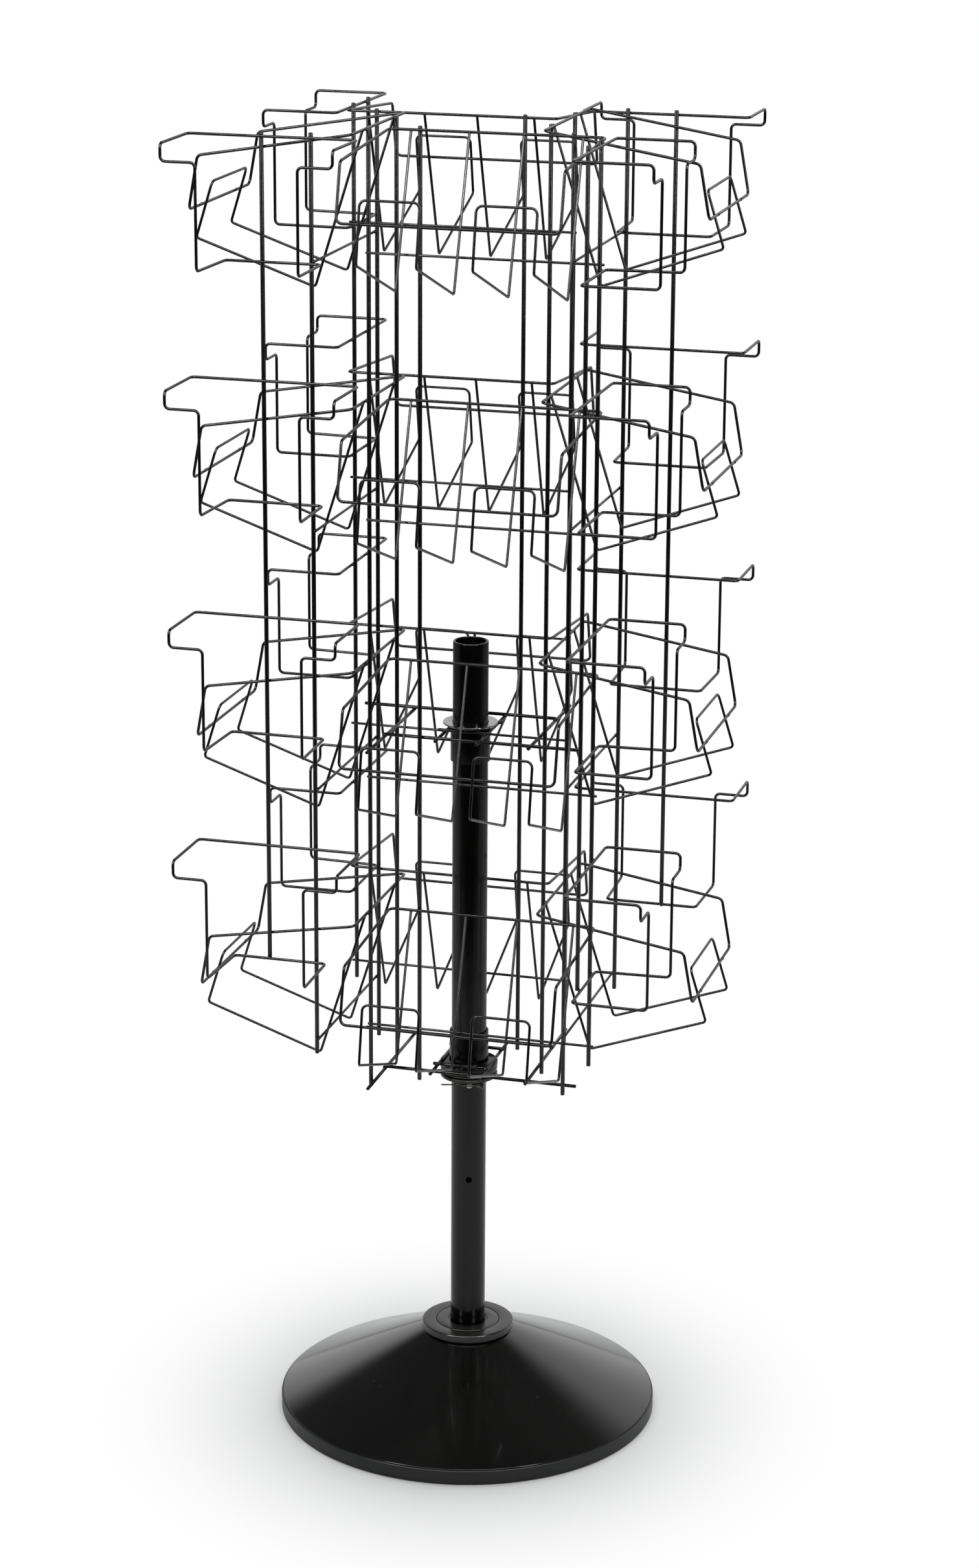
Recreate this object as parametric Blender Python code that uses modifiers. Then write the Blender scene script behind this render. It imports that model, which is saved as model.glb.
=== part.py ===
"""Rotating wire display rack: a weighted round base, a tubular pole and a welded wire cage that spins on it.

Metres, +Z up, origin on the pole's axis at floor level. At rest the cage's front face looks along -Y.
The cage has four faces of pocket baskets and four wings that continue the baskets' arms in a pinwheel,
each on four tiers. A basket or a wing loop is drawn once, facing front, and turned to its own side.
"""

import math

import bmesh
import bpy
from mathutils import Vector

# Clearance kept between separate pieces
GAP = 0.0003

# Wire and rod radii
LOOP_R = 0.0018
POCKET_R = 0.0016
STRUT_R = 0.0018
TIE_R = 0.0024
UPRIGHT_R = 0.0030
BEND = 0.007
LOOP_SIDES = 1

# Tiers: the top of the first one, and the pitch of the ones below
TIERS = 4
BASKET_TOP = 1.878
BASKET_PITCH = 0.364
WING_TOP = 1.876
WING_PITCH = 0.3255
UPRIGHT_TOP = 1.883
CORE_BOTTOM = 0.530
WING_BOTTOM = {"outer": 0.7335, "inner": 0.598}

# Front and back baskets: two pockets each
WIDE = {
    "plane": 0.0835,
    "centre": 0.0558,
    "width": 0.2975,
    "arm": 0.2141,
    "arm_drop": 0.015,
    "lean": 0.0194,
    "side_drop": 0.0771,
    "side_rise": 0.0,
    "pockets": (-0.0776, 0.0776),
    "pocket_width": 0.0805,
    "tip": (0.0722, -0.2044),
    "nose": (0.246, -0.143),
    "crest": (0.2298, -0.0614),
    "near": -0.0510,
    "far": 0.1598,
    "strut_drop": 0.1600,
}
# Left and right baskets: one wider pocket each
NARROW = {
    "plane": 0.1148,
    "centre": 0.0600,
    "width": 0.2474,
    "arm": 0.2125,
    "arm_drop": 0.035,
    "lean": 0.0131,
    "side_drop": 0.0724,
    "side_rise": 0.003,
    "pockets": (0.0,),
    "pocket_width": 0.1415,
    "tip": (0.0670, -0.2115),
    "nose": (0.2347, -0.1531),
    "crest": (0.2109, -0.0764),
    "near": -0.0060,
    "far": 0.1219,
    "strut_drop": 0.1645,
}

# Wing loops: a wide mouth, a step inwards and a narrower foot
WING = {
    "width": 0.2344,
    "depth": 0.1057,
    "lip": 0.0233,
    "step": 0.0475,
    "drop": 0.1415,
    "foot": 0.0507,
    "foot_z": -0.1656,
}
# Each wing's middle and outer post, from the pole's axis
WIDE_WING = {"centre": 0.2196, "outer": 0.2362}
SIDE_WING = {"centre": 0.1840, "outer": 0.1990}

# Ladders: a core upright and a wing's inner post with a strut between them on each tier
STRUT_OFFSET = 0.0040
STRUT_CORE_END = 0.0025
STRUT_WING_END = 0.0050

# How far an upright's axis stands behind the plane of the bars that it carries
UPRIGHT_INSET = LOOP_R + UPRIGHT_R + GAP

# Hubs: a sleeve on the pole, held by tie rods between the uprights
SLEEVE_BORE = 0.0255
SLEEVE_R = 0.0279
UPPER_SLEEVE = (0.9885, 1.0420)
LOWER_SLEEVE = (0.5315, 0.5845)
UPPER_TIE_Z = 1.0372
LOWER_TIE_Z = 0.5430
TIE_STEP = 0.0036
TIE_INSET = UPRIGHT_R + TIE_R + GAP
LONG_TIE = (-0.104, 0.177)
SIDE_TIE = (-0.075, 0.156)
CROSS_HALF = 0.0760
UPPER_BOX = {"cross": 0.0297, "short": 0.0297, "short_half": 0.0380}
LOWER_BOX = {"cross": 0.0360, "short": 0.0420, "short_half": 0.0440}
FLANGE_R = 0.0415
FLANGE_T = 0.0065
DISC_R = 0.0386
DISC_T = 0.0025

# Thrust bearing and the pin that carries it
RACE_R = 0.0410
RACE_BORE = 0.0256
UPPER_RACE = (0.5262, 0.5312)
BALL_RING = (0.5208, 0.5259)
BALL_RING_SPAN = (0.0290, 0.0385)
LOWER_RACE = (0.5156, 0.5205)
PIN_Z = 0.5112
PIN_R = 0.0042
PIN_HALF = 0.0385
PIN_HOLE_R = 0.0046
PIN_AZIMUTH = math.radians(17.0)
SPARE_HOLE_Z = 0.3610
CLIP_R = 0.0011
CLIP_HOLE_R = 0.0015
CLIP_REACH = 0.0310
CLIP_BEND = 0.0030
# The clip's outline as (sideways, outwards) from where its straight leg passes through the pin
CLIP_OUTLINE = [
    (-0.0400, 0.0),
    (0.0150, 0.0),
    (0.0200, 0.0050),
    (0.0150, 0.0105),
    (0.0040, 0.0120),
    (-0.0080, 0.0105),
    (-0.0140, 0.0045),
    (-0.0200, 0.0070),
]

# Pole
POLE_R = 0.0250
POLE_BORE = 0.0216
POLE_TOP = 1.1615
PLUG_TOP = 0.0450
THREAD_R = 0.0060
BOLT_R = 0.0057
BOLT_TOP = 0.0400
BOLT_HEAD_R = 0.0110
BOLT_HEAD = (0.0008, 0.0057)

# Base
BASE_R = 0.2740
BAND_TOP = 0.0210
PLATE_TOP = 0.0140
PLATE_UNDER = 0.0060
PLATE_BORE = 0.0062
BAND_WALL = 0.0060
CONE_R = 0.2715
CONE_TOP = 0.1212
CONE_FLAT = 0.0600
CONE_WALL = 0.0020
CONE_BORE = 0.0300
COLLAR_R = 0.0665
COLLAR_SPLIT = 0.0459
COLLAR_BORE = 0.0254
COLLAR_BASE = 0.1216
COLLAR_TOP = 0.1326
EDGE = 0.0012

SIDES = {"front": 0.0, "right": 90.0, "back": 180.0, "left": -90.0}
TURNED_STEPS = 36
BASE_STEPS = 64

MATERIALS = {
    "black_wire": ((0.012, 0.012, 0.013), 0.28, 0.0),
    "black_gloss": ((0.008, 0.008, 0.008), 0.12, 0.0),
    "black_satin": ((0.018, 0.018, 0.017), 0.38, 0.0),
    "zinc_steel": ((0.42, 0.42, 0.41), 0.35, 0.9),
    "bearing_steel": ((0.20, 0.20, 0.20), 0.30, 0.9),
}


def clear_scene():
    for obj in list(bpy.data.objects):
        bpy.data.objects.remove(obj, do_unlink=True)


def make_collection(name):
    collection = bpy.data.collections.new(name)
    bpy.context.scene.collection.children.link(collection)
    return collection


def make_material(name):
    color, roughness, metallic = MATERIALS[name]
    material = bpy.data.materials.new(name)
    material.use_nodes = True
    shader = material.node_tree.nodes["Principled BSDF"]
    shader.inputs["Base Color"].default_value = (*color, 1.0)
    shader.inputs["Roughness"].default_value = roughness
    shader.inputs["Metallic"].default_value = metallic
    material.diffuse_color = (*color, 1.0)
    return material


def rounded(corners, radius, steps=1, closed=False):
    """The path through these corners with each bend turned as an arc of the given radius."""
    points = [Vector(corner) for corner in corners]
    count = len(points)
    path = []
    for i, corner in enumerate(points):
        if not closed and i in (0, count - 1):
            path.append(corner)
            continue
        back = points[i - 1] - corner
        ahead = points[(i + 1) % count] - corner
        half = back.angle(ahead) / 2
        reach = min(radius / math.tan(half), 0.45 * back.length, 0.45 * ahead.length)
        start = corner + back.normalized() * reach
        end = corner + ahead.normalized() * reach
        middle = (back.normalized() + ahead.normalized()).normalized()
        centre = corner + middle * (reach / math.cos(half))
        spoke = reach * math.tan(half)
        for k in range(steps + 1):
            arm = (start - centre).slerp(end - centre, k / steps)
            path.append(centre + arm.normalized() * spoke)
    return path


def wire_mesh(name, path, radius, closed=False, sides=LOOP_SIDES):
    """A round wire along a path, as a closed mesh."""
    curve = bpy.data.curves.new(name, "CURVE")
    curve.dimensions = "3D"
    curve.bevel_depth = radius
    curve.bevel_resolution = sides
    curve.use_fill_caps = not closed
    spline = curve.splines.new("POLY")
    spline.points.add(len(path) - 1)
    for point, place in zip(spline.points, path):
        point.co = (*place, 1.0)
    spline.use_cyclic_u = closed
    obj = bpy.data.objects.new(name, curve)
    cutters.objects.link(obj)
    bpy.context.view_layer.update()
    evaluated = obj.evaluated_get(bpy.context.evaluated_depsgraph_get())
    mesh = bpy.data.meshes.new_from_object(evaluated)
    bpy.data.objects.remove(obj, do_unlink=True)
    weld = bmesh.new()
    weld.from_mesh(mesh)
    bmesh.ops.remove_doubles(weld, verts=weld.verts, dist=0.00001)
    weld.to_mesh(mesh)
    weld.free()
    return mesh


def turned_mesh(name, profile, steps=TURNED_STEPS):
    """A solid turned about +Z from a closed outline of (radius, height) points that runs down its outer side."""
    mesh = bpy.data.meshes.new(name)
    count = len(profile)
    mesh.from_pydata([(r, 0.0, z) for r, z in profile], [(i, (i + 1) % count) for i in range(count)], [])
    obj = bpy.data.objects.new(name, mesh)
    cutters.objects.link(obj)
    screw = obj.modifiers.new("turn", "SCREW")
    screw.steps = steps
    screw.render_steps = steps
    screw.use_merge_vertices = True
    screw.merge_threshold = 0.00001
    return bake(obj)


def bake(obj):
    """The evaluated mesh of a construction object, which is then removed."""
    bpy.context.view_layer.update()
    evaluated = obj.evaluated_get(bpy.context.evaluated_depsgraph_get())
    mesh = bpy.data.meshes.new_from_object(evaluated)
    mesh.transform(obj.matrix_world)
    bpy.data.objects.remove(obj, do_unlink=True)
    return mesh


def combined(name, base, others, operation):
    """One mesh with others joined to it or cut from it."""
    obj = bpy.data.objects.new(name, base)
    cutters.objects.link(obj)
    tools = []
    for i, other in enumerate(others):
        tool = bpy.data.objects.new(f"{name}_{i}", other)
        cutters.objects.link(tool)
        tools.append(tool)
        boolean = obj.modifiers.new(f"{operation}_{i}", "BOOLEAN")
        boolean.operation = operation
        boolean.solver = "EXACT"
        boolean.object = tool
    mesh = bake(obj)
    for tool in tools:
        bpy.data.objects.remove(tool, do_unlink=True)
    return mesh


def add_part(name, mesh, material, parent=None, height=0.0, turn=0.0):
    obj = bpy.data.objects.new(name, mesh)
    parts.objects.link(obj)
    obj.parent = parent
    obj.location = (0.0, 0.0, height)
    obj.rotation_euler = (0.0, 0.0, math.radians(turn))
    if not mesh.materials:
        mesh.materials.append(materials[material])
    mesh.shade_smooth()
    mesh.set_sharp_from_angle(angle=math.radians(40.0))
    return obj


def basket_loop(spec):
    """The closed wire of a basket: bar on the uprights, two arms outwards, and a lower bar in front."""
    left = spec["centre"] - spec["width"] / 2
    right = spec["centre"] + spec["width"] / 2
    back = -spec["plane"]
    elbow = back - spec["arm"]
    front = elbow - spec["lean"]
    rise = spec["side_rise"]
    elbow_z = rise - spec["arm_drop"]
    front_z = elbow_z - spec["side_drop"]
    corners = [
        (left, back, rise),
        (left, elbow, elbow_z),
        (left, front, front_z),
        (right, front, front_z),
        (right, elbow, elbow_z),
        (right, back, rise),
    ]
    return wire_mesh("loop", rounded(corners, BEND, closed=True), LOOP_R, closed=True)


def pocket_wire(spec, middle):
    """One pocket: down from the back bar to a tip, up along the floor to the nose, and over the crest."""
    half = spec["pocket_width"] / 2
    back = -spec["plane"]
    rise = spec["side_rise"]
    outline = [(0.0, 0.0), spec["tip"], spec["nose"], spec["crest"]]
    left = [(middle - half, back - reach, z + rise) for reach, z in outline]
    right = [(middle + half, back - reach, z + rise) for reach, z in reversed(outline)]
    return wire_mesh("pocket", rounded(left + right, BEND), POCKET_R)


def basket_mesh(spec):
    pockets = [pocket_wire(spec, spec["centre"] + offset) for offset in spec["pockets"]]
    return combined("basket", basket_loop(spec), pockets, "UNION")


def ladder_mesh(spec, across):
    """A core upright of the side across, the inner post of the wing on this side's long arm, and their struts."""
    core_x = -upright_plane(across)
    wing_x = post_plane(spec)
    core_y = -across["far"]
    strut_y = core_y - STRUT_OFFSET
    wing_y = strut_y - STRUT_OFFSET
    pieces = [rod_mesh(wing_x, wing_y, WING_BOTTOM["inner"], UPRIGHT_TOP)]
    for tier in range(TIERS):
        z = BASKET_TOP - tier * BASKET_PITCH - spec["strut_drop"]
        ends = [(core_x - STRUT_CORE_END, strut_y, z), (wing_x + STRUT_WING_END, strut_y, z)]
        pieces.append(wire_mesh("strut", ends, STRUT_R))
    return combined("ladder", rod_mesh(core_x, core_y, CORE_BOTTOM, UPRIGHT_TOP), pieces, "UNION")


def wing_loop_mesh(plane, centre):
    """The closed wire of a wing: wide mouth at the top, stepped in to a narrower foot."""
    inner = -(centre - WING["width"] / 2)
    outer = -(centre + WING["width"] / 2)
    front = -(plane + WING["depth"])
    lip = -WING["lip"]
    low = lip - WING["drop"]
    corners = [
        (outer, -plane, 0.0),
        (outer, front, 0.0),
        (outer, front, lip),
        (outer + WING["step"], front, lip),
        (outer + WING["step"], front, low),
        (outer + WING["foot"], -plane, WING["foot_z"]),
        (inner - WING["foot"], -plane, WING["foot_z"]),
        (inner - WING["step"], front, low),
        (inner - WING["step"], front, lip),
        (inner, front, lip),
        (inner, front, 0.0),
        (inner, -plane, 0.0),
    ]
    return wire_mesh("wing_loop", rounded(corners, BEND, closed=True), LOOP_R, closed=True)


def rod_mesh(x, y, bottom, top):
    return wire_mesh("rod", [(x, y, bottom), (x, y, top)], UPRIGHT_R)


def ring_profile(bore, radius, bottom, top, edge):
    """A flat ring with its outer and inner top edges broken."""
    return [
        (bore, top - edge),
        (bore + edge, top),
        (radius - edge, top),
        (radius, top - edge),
        (radius, bottom + edge),
        (radius - edge, bottom),
        (bore, bottom),
    ]


def sleeve_profile(span, flanged):
    bottom, top = span
    if not flanged:
        return [(SLEEVE_BORE, top), (SLEEVE_R, top), (SLEEVE_R, bottom), (SLEEVE_BORE, bottom)]
    return [
        (SLEEVE_BORE, top),
        (SLEEVE_R, top),
        (SLEEVE_R, bottom + FLANGE_T),
        (FLANGE_R, bottom + FLANGE_T),
        (FLANGE_R, bottom),
        (SLEEVE_BORE, bottom),
    ]


def hub_mesh(span, tie_z, box, flanged):
    """A sleeve with its welded grid: long ties to the uprights, and short wires that box the sleeve in."""
    front = WIDE["plane"] - UPRIGHT_INSET - TIE_INSET
    side = NARROW["plane"] - UPRIGHT_INSET - TIE_INSET
    low_z = tie_z - TIE_STEP
    rods = []
    for sign in (1, -1):
        ends = [(sign * reach, -sign * front, tie_z) for reach in LONG_TIE]
        rods.append(ends)
        ends = [(-sign * side, -sign * reach, low_z) for reach in SIDE_TIE]
        rods.append(ends)
        rods.append([(sign * box["cross"], reach, low_z) for reach in (-CROSS_HALF, CROSS_HALF)])
        half = box["short_half"]
        rods.append([(reach, sign * box["short"], tie_z) for reach in (-half, half)])
    meshes = [wire_mesh("tie", ends, TIE_R) for ends in rods]
    ring = turned_mesh("sleeve", sleeve_profile(span, flanged))
    return combined("hub", ring, meshes, "UNION")


def cross_drill(z, radius, reach):
    """A cutter along the support pin's direction."""
    direction = Vector((math.sin(PIN_AZIMUTH), -math.cos(PIN_AZIMUTH), 0.0))
    centre = Vector((0.0, 0.0, z))
    return wire_mesh("drill", [centre - direction * reach, centre + direction * reach], radius, sides=2)


def pole_mesh():
    foot = PLATE_TOP + GAP
    profile = [(POLE_BORE, POLE_TOP), (POLE_R, POLE_TOP), (POLE_R, foot), (POLE_BORE, foot)]
    tube = turned_mesh("tube", profile)
    drills = [cross_drill(z, PIN_HOLE_R, 0.04) for z in (PIN_Z, SPARE_HOLE_Z)]
    return combined("pole", tube, drills, "DIFFERENCE")


def pin_frame():
    """The pin's direction out of the pole, and the level direction across it."""
    along = Vector((math.sin(PIN_AZIMUTH), -math.cos(PIN_AZIMUTH), 0.0))
    across = Vector((math.cos(PIN_AZIMUTH), math.sin(PIN_AZIMUTH), 0.0))
    return along, across


def pin_mesh():
    along, across = pin_frame()
    centre = Vector((0.0, 0.0, PIN_Z))
    shank = wire_mesh("shank", [centre - along * PIN_HALF, centre + along * PIN_HALF], PIN_R, sides=4)
    place = centre + along * CLIP_REACH
    hole = wire_mesh("hole", [place - across * 0.01, place + across * 0.01], CLIP_HOLE_R, sides=2)
    return combined("pin", shank, [hole], "DIFFERENCE")


def clip_mesh():
    """A hairpin clip: a straight leg through the pin, a round bend, and a leg bowed around the pin's end."""
    along, across = pin_frame()
    start = Vector((0.0, 0.0, PIN_Z)) + along * CLIP_REACH
    corners = [start + across * side + along * reach for side, reach in CLIP_OUTLINE]
    return wire_mesh("clip", rounded(corners, CLIP_BEND), CLIP_R)


def base_plate_profile():
    """A heavy plate with a standing band at its rim; the band's foot is what touches the floor."""
    inner = BASE_R - BAND_WALL
    return [
        (PLATE_BORE, PLATE_TOP),
        (inner, PLATE_TOP),
        (inner, BAND_TOP - 0.0005),
        (inner + 0.0005, BAND_TOP),
        (BASE_R - EDGE, BAND_TOP),
        (BASE_R, BAND_TOP - EDGE),
        (BASE_R, EDGE / 2),
        (BASE_R - EDGE / 2, 0.0),
        (inner - BAND_WALL, 0.0),
        (inner - BAND_WALL, PLATE_UNDER),
        (PLATE_BORE, PLATE_UNDER),
    ]


def bolt_mesh():
    """The bolt that holds the pole down: a flat head under the plate and a shank up into the pole's plug."""
    under, over = BOLT_HEAD
    shank = wire_mesh("shank", [(0.0, 0.0, under), (0.0, 0.0, BOLT_TOP)], BOLT_R, sides=4)
    head = wire_mesh("head", [(0.0, 0.0, under), (0.0, 0.0, over)], BOLT_HEAD_R)
    return combined("bolt", shank, [head], "UNION")


def plug_profile():
    """The threaded plug welded into the pole's foot."""
    foot = PLATE_TOP + GAP
    outer = POLE_BORE - GAP
    return [(THREAD_R, PLUG_TOP), (outer, PLUG_TOP), (outer, foot), (THREAD_R, foot)]


def cone_profile():
    """A thin spun cover: flat under the collar, straight down to the band's top."""
    foot = BAND_TOP + 0.0004
    return [
        (CONE_BORE, CONE_TOP),
        (CONE_FLAT, CONE_TOP),
        (CONE_FLAT + 0.004, CONE_TOP - 0.0012),
        (CONE_R - 0.001, foot + 0.0016),
        (CONE_R, foot),
        (CONE_R - 2 * CONE_WALL, foot),
        (CONE_FLAT, CONE_TOP - CONE_WALL),
        (CONE_BORE, CONE_TOP - CONE_WALL),
    ]


def build_base():
    add_part("base_plate", turned_mesh("plate", base_plate_profile(), BASE_STEPS), "black_satin")
    add_part("base_cone", turned_mesh("cone", cone_profile(), BASE_STEPS), "black_gloss")
    ring = ring_profile(COLLAR_SPLIT + GAP, COLLAR_R, COLLAR_BASE, COLLAR_TOP, EDGE)
    add_part("collar_ring", turned_mesh("ring", ring), "black_satin")
    hub = ring_profile(COLLAR_BORE, COLLAR_SPLIT - GAP, COLLAR_BASE, COLLAR_TOP, EDGE / 2)
    add_part("collar_hub", turned_mesh("collar", hub), "black_satin")
    add_part("pole", pole_mesh(), "black_gloss")
    add_part("pole_plug", turned_mesh("plug", plug_profile()), "zinc_steel")
    add_part("base_bolt", bolt_mesh(), "zinc_steel")


def build_bearing():
    lower = ring_profile(RACE_BORE, RACE_R, *LOWER_RACE, EDGE)
    add_part("bearing_lower_race", turned_mesh("race", lower), "bearing_steel")
    balls = ring_profile(*BALL_RING_SPAN, *BALL_RING, EDGE)
    add_part("bearing_ball_ring", turned_mesh("balls", balls), "bearing_steel")
    upper = ring_profile(RACE_BORE, RACE_R, *UPPER_RACE, EDGE)
    add_part("bearing_upper_race", turned_mesh("race", upper), "bearing_steel", cage)
    add_part("support_pin", pin_mesh(), "zinc_steel")
    add_part("retaining_clip", clip_mesh(), "zinc_steel")


def build_hubs():
    upper = hub_mesh(UPPER_SLEEVE, UPPER_TIE_Z, UPPER_BOX, False)
    add_part("upper_hub", upper, "black_satin", cage)
    lower = hub_mesh(LOWER_SLEEVE, LOWER_TIE_Z, LOWER_BOX, True)
    add_part("lower_hub", lower, "black_satin", cage)
    bottom = UPPER_SLEEVE[1] + GAP
    disc = ring_profile(SLEEVE_BORE, DISC_R, bottom, bottom + DISC_T, 0.0005)
    add_part("hub_disc", turned_mesh("disc", disc), "zinc_steel", cage)


def upright_plane(spec):
    return spec["plane"] - UPRIGHT_INSET


def post_plane(spec):
    """Where the posts of the wing stand that continues this basket's long arm."""
    return spec["centre"] + spec["width"] / 2 + UPRIGHT_INSET


def build_frame():
    """On each side a ladder, which crosses it, and the upright that stands free behind its baskets."""
    for side, turn in SIDES.items():
        spec, across = (WIDE, NARROW) if side in ("front", "back") else (NARROW, WIDE)
        add_part(f"{side}_ladder", ladder_mesh(spec, across), "black_wire", cage, turn=turn)
        rod = rod_mesh(spec["near"], -upright_plane(spec), CORE_BOTTOM, UPRIGHT_TOP)
        add_part(f"{side}_upright", rod, "black_wire", cage, turn=turn)


def build_wings():
    """Four wings of stacked loops; each wing continues the long arm of the basket beside it."""
    for side, turn in SIDES.items():
        faces_front = side in ("front", "back")
        plane = post_plane(NARROW if faces_front else WIDE)
        wing = WIDE_WING if faces_front else SIDE_WING
        rod = rod_mesh(-wing["outer"], -plane, WING_BOTTOM["outer"], UPRIGHT_TOP)
        add_part(f"{side}_wing_post", rod, "black_wire", cage, turn=turn)
        loop = wing_loop_mesh(plane + UPRIGHT_INSET, wing["centre"])
        for tier in range(TIERS):
            height = WING_TOP - tier * WING_PITCH
            add_part(f"{side}_wing_loop_{tier + 1}", loop, "black_wire", cage, height, turn)


def build_baskets():
    """One basket on each face and tier."""
    wide = basket_mesh(WIDE)
    narrow = basket_mesh(NARROW)
    for side, turn in SIDES.items():
        mesh = wide if side in ("front", "back") else narrow
        for tier in range(TIERS):
            height = BASKET_TOP - tier * BASKET_PITCH
            add_part(f"{side}_basket_{tier + 1}", mesh, "black_wire", cage, height, turn)


clear_scene()
parts = make_collection("rotating_display_rack")
cutters = make_collection("construction")
cutters.hide_render = True
materials = {name: make_material(name) for name in MATERIALS}
cage = bpy.data.objects.new("cage_axis", None)
parts.objects.link(cage)
build_base()
build_bearing()
build_hubs()
build_frame()
build_wings()
build_baskets()
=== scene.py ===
import math

import bmesh
import bpy
from mathutils import Matrix, Vector


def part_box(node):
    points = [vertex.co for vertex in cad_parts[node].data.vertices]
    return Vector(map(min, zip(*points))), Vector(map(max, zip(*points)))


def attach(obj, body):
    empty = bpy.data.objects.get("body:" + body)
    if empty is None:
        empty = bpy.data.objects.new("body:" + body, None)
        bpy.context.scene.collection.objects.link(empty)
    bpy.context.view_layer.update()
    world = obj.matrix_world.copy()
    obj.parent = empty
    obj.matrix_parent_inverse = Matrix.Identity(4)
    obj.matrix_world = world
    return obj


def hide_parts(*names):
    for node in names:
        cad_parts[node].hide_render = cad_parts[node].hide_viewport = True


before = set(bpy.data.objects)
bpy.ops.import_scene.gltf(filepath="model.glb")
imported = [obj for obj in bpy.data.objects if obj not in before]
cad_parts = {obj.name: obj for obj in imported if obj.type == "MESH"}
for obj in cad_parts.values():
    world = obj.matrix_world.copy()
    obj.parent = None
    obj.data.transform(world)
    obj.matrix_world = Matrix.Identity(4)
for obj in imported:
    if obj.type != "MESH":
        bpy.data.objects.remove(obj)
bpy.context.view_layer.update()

# --- Sizes of the CAD frame that the visual pieces follow, in metres -----------------------------------

GAP = 0.0003
LOOP_R = 0.00200
POCKET_R = 0.00182
STRUT_R = 0.0018
TIE_R = 0.0024
UPRIGHT_R = 0.0030
UPRIGHT_INSET = STRUT_R + UPRIGHT_R + GAP
CROSSING_OFFSET = 0.0022

TIERS = 4
BASKET_TOP = 1.878
BASKET_PITCH = 0.364
WING_TOP = 1.876
WING_PITCH = 0.3255
SIDES = {"front": 0.0, "right": 90.0, "back": 180.0, "left": -90.0}
WIDE_SIDES = ("front", "back")

# Baskets and wings are given as on the front face, and turned round the pole to the others: x to the
# right, y away from the viewer, and z up from the height of their tier. plane is the back bar's distance
# from the pole's axis; near and far are the x of the core uprights that the basket is welded to.

WIDE = {
    "plane": 0.0835,
    "centre": 0.0558,
    "width": 0.2975,
    "arm": 0.2141,
    "arm_drop": 0.015,
    "lean": 0.0194,
    "side_drop": 0.0771,
    "side_rise": 0.0,
    "pockets": (-0.0776, 0.0776),
    "pocket_width": 0.0805,
    "tip": (0.0722, -0.2044),
    "nose": (0.246, -0.143),
    "crest": (0.2298, -0.0614),
    "near": -0.0510,
    "far": 0.1598,
    "strut_drop": 0.1600,
}
NARROW = {
    "plane": 0.1148,
    "centre": 0.0600,
    "width": 0.2474,
    "arm": 0.2125,
    "arm_drop": 0.035,
    "lean": 0.0131,
    "side_drop": 0.0724,
    "side_rise": 0.003,
    "pockets": (0.0,),
    "pocket_width": 0.1415,
    "tip": (0.0670, -0.2115),
    "nose": (0.2347, -0.1531),
    "crest": (0.2109, -0.0764),
    "near": -0.0060,
    "far": 0.1219,
    "strut_drop": 0.1645,
}
WING = {
    "width": 0.2344,
    "depth": 0.1057,
    "lip": 0.0233,
    "step": 0.0475,
    "drop": 0.1415,
    "foot": 0.0507,
    "foot_z": -0.1656,
}
WIDE_WING = {"centre": 0.2196, "outer": 0.2362}
SIDE_WING = {"centre": 0.1840, "outer": 0.1990}
STRUT_OFFSET = 0.0040
STRUT_CORE_END = 0.0025
STRUT_WING_END = 0.0050
INNER_POST_LIFT = 0.0680
LONG_TIE = (-0.104, 0.177)
SIDE_TIE = (-0.075, 0.156)
CROSS_HALF = 0.0760
TIE_STEP = 0.0036
TIE_INSET = UPRIGHT_R + TIE_R + GAP
UPPER_HUB = {
    "bottom": 0.9885,
    "top": 1.0420,
    "tie_z": 1.0372,
    "cross": 0.0297,
    "short": 0.0297,
    "short_half": 0.0380,
}
LOWER_HUB = {
    "bottom": 0.5315,
    "top": 0.5845,
    "tie_z": 0.5430,
    "cross": 0.0360,
    "short": 0.0420,
    "short_half": 0.0405,
    "flange_r": 0.0415,
    "flange_height": 0.0065,
}
PIN_AZIMUTH = math.radians(17.0)
PIN_Z = 0.5112
PIN_R = 0.0042
PIN_HALF = 0.0370
PIN_HOLE_R = 0.0046
SPARE_HOLE_Z = 0.3610
CLIP_REACH = 0.0310
CLIP_R = 0.0011
CLIP_HOLE_R = 0.0015
CLIP_COIL_R = 0.0052
CLIP_COIL_RISE = 0.0042
CLIP_TURNS = 2.25
CLIP_COIL_STEPS = 54
POLE_R = 0.0250
POLE_BORE = 0.0216
SLEEVE_BORE = 0.0256
SLEEVE_R = 0.0279
RACE_BORE = 0.0257
RACE_R = 0.0410
DISC_R = 0.0386
BALLS = 24
BALL_CIRCLE = 0.0340
THREAD_PITCH = 0.0012

WIRE_SIDES = 12
ROD_SIDES = 16
BEND = 0.0085
TIGHT_BEND = 0.0045
BEND_STEPS = 6
ROD_END = 0.0012
ROD_WELD = (0.0034, 0.0024, 0.0026)
POCKET_WELD = (0.0027, 0.0024, 0.0025)
FRONT_WELD = (0.0023, 0.0026, 0.0023)
TIE_WELD = (0.0036, 0.0036, 0.0030)
CROSS_WELD = (0.0034, 0.0034, 0.0030)
SHARP_ANGLE = math.radians(42.0)


# --- Mesh building -------------------------------------------------------------------------------------


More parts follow.
